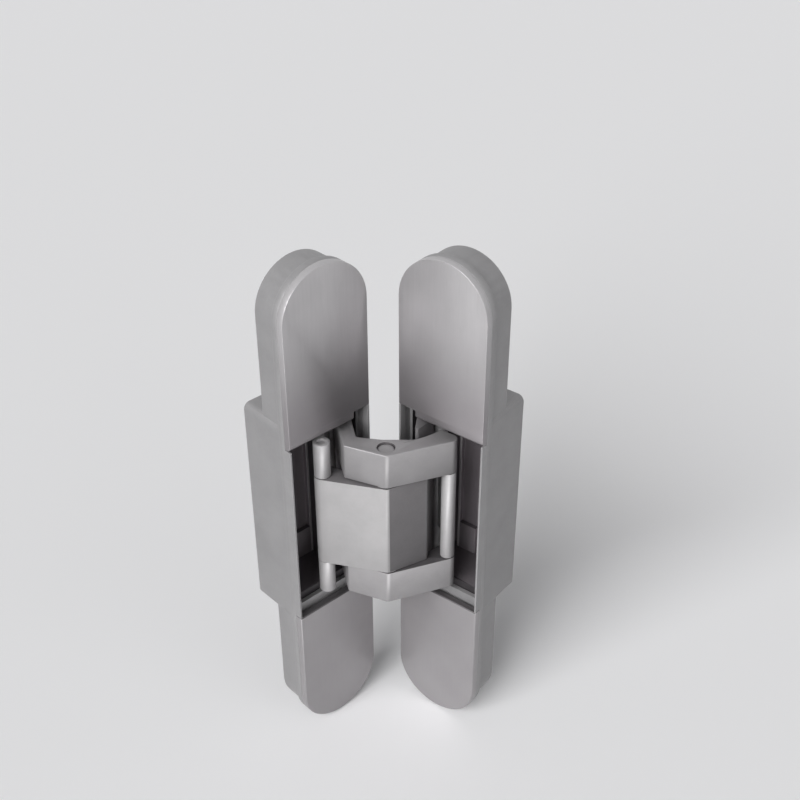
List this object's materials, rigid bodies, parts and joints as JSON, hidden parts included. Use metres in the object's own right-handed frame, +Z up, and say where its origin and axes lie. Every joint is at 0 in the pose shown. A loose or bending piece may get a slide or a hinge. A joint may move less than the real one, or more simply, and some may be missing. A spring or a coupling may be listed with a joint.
{
  "type": "concealed hinge",
  "caption": "Concealed hinge for a flush door: mirrored recessed cases with snap covers, joined by crossing chevron arms on upright pins, with swing links and adjustable carriers.",
  "frame": {"origin": "middle of the frame-side plate's outer face, on the centre line of its fixing holes", "axes": "+X across the frame-side plate, away from the door; +Y into the frame; +Z up along the plate"},
  "size_m": [0.0581, 0.0527, 0.157],
  "materials": {
    "satin_metal": "satin silver-grey die-cast zinc",
    "cover_metal": "satin silver-grey cover",
    "dark_bracket": "dark grey steel bracket",
    "pin_steel": "turned bright steel"
  },
  "bodies": {
    "frame_side": {"frame_case": "satin_metal", "frame_carrier": "dark_bracket", "frame_cover_upper": "cover_metal", "frame_cover_lower": "cover_metal", "frame_arm_pin": "pin_steel", "frame_clamp_screws": "pin_steel", "frame_height_cams": "pin_steel"},
    "inner_arm_body": {"inner_arm": "satin_metal", "inner_rod": "pin_steel"},
    "outer_arms_body": {"outer_arm_upper": "satin_metal", "outer_arm_lower": "satin_metal", "outer_rod": "pin_steel", "centre_pin": "pin_steel", "arm_washers": "pin_steel"},
    "door_side": {"door_case": "satin_metal", "door_carrier": "dark_bracket", "door_cover_upper": "cover_metal", "door_cover_lower": "cover_metal", "door_arm_pin": "pin_steel", "door_clamp_screws": "pin_steel", "door_height_cams": "pin_steel", "door_spacer_sleeve": "pin_steel"},
    "frame_link_body": {"frame_link": "pin_steel", "frame_link_pin": "pin_steel"},
    "door_link_body": {"door_link": "pin_steel", "door_link_pin": "pin_steel"}
  },
  "joints": [
    {"name": "frame_pivot", "type": "hinge", "parent": "frame_side", "child": "inner_arm_body", "pos_m": [-0.01, 0.0072, 0], "axis": [0, 0, -1], "range_deg": [-57.35, 34.05]},
    {"name": "centre_pivot", "type": "hinge", "parent": "inner_arm_body", "child": "outer_arms_body", "pos_m": [-0.00815, -0.01321, 0], "axis": [0, 0, -1], "range_deg": [-9.25, 15.57]},
    {"name": "door_pivot", "type": "hinge", "parent": "outer_arms_body", "child": "door_side", "pos_m": [-0.028, -0.00814, 0], "axis": [0, 0, -1], "range_deg": [-57.36, 34.06]},
    {"name": "frame_link_pivot", "type": "hinge", "parent": "outer_arms_body", "child": "frame_link_body", "pos_m": [0.0028, 0.0008, 0], "axis": [0, 0, -1], "range_deg": [-12.35, 7.34]},
    {"name": "door_link_pivot", "type": "hinge", "parent": "inner_arm_body", "child": "door_link_body", "pos_m": [-0.02372, -0.02179, 0], "axis": [0, 0, -1], "range_deg": [-7.34, 12.35]}
  ],
  "couplings": [
    {"joint": "centre_pivot", "follows": "frame_pivot", "ratio": -0.27136},
    {"joint": "door_pivot", "follows": "frame_pivot", "ratio": 1},
    {"joint": "frame_link_pivot", "follows": "frame_pivot", "ratio": 0.21519},
    {"joint": "door_link_pivot", "follows": "frame_pivot", "ratio": -0.21519}
  ]
}
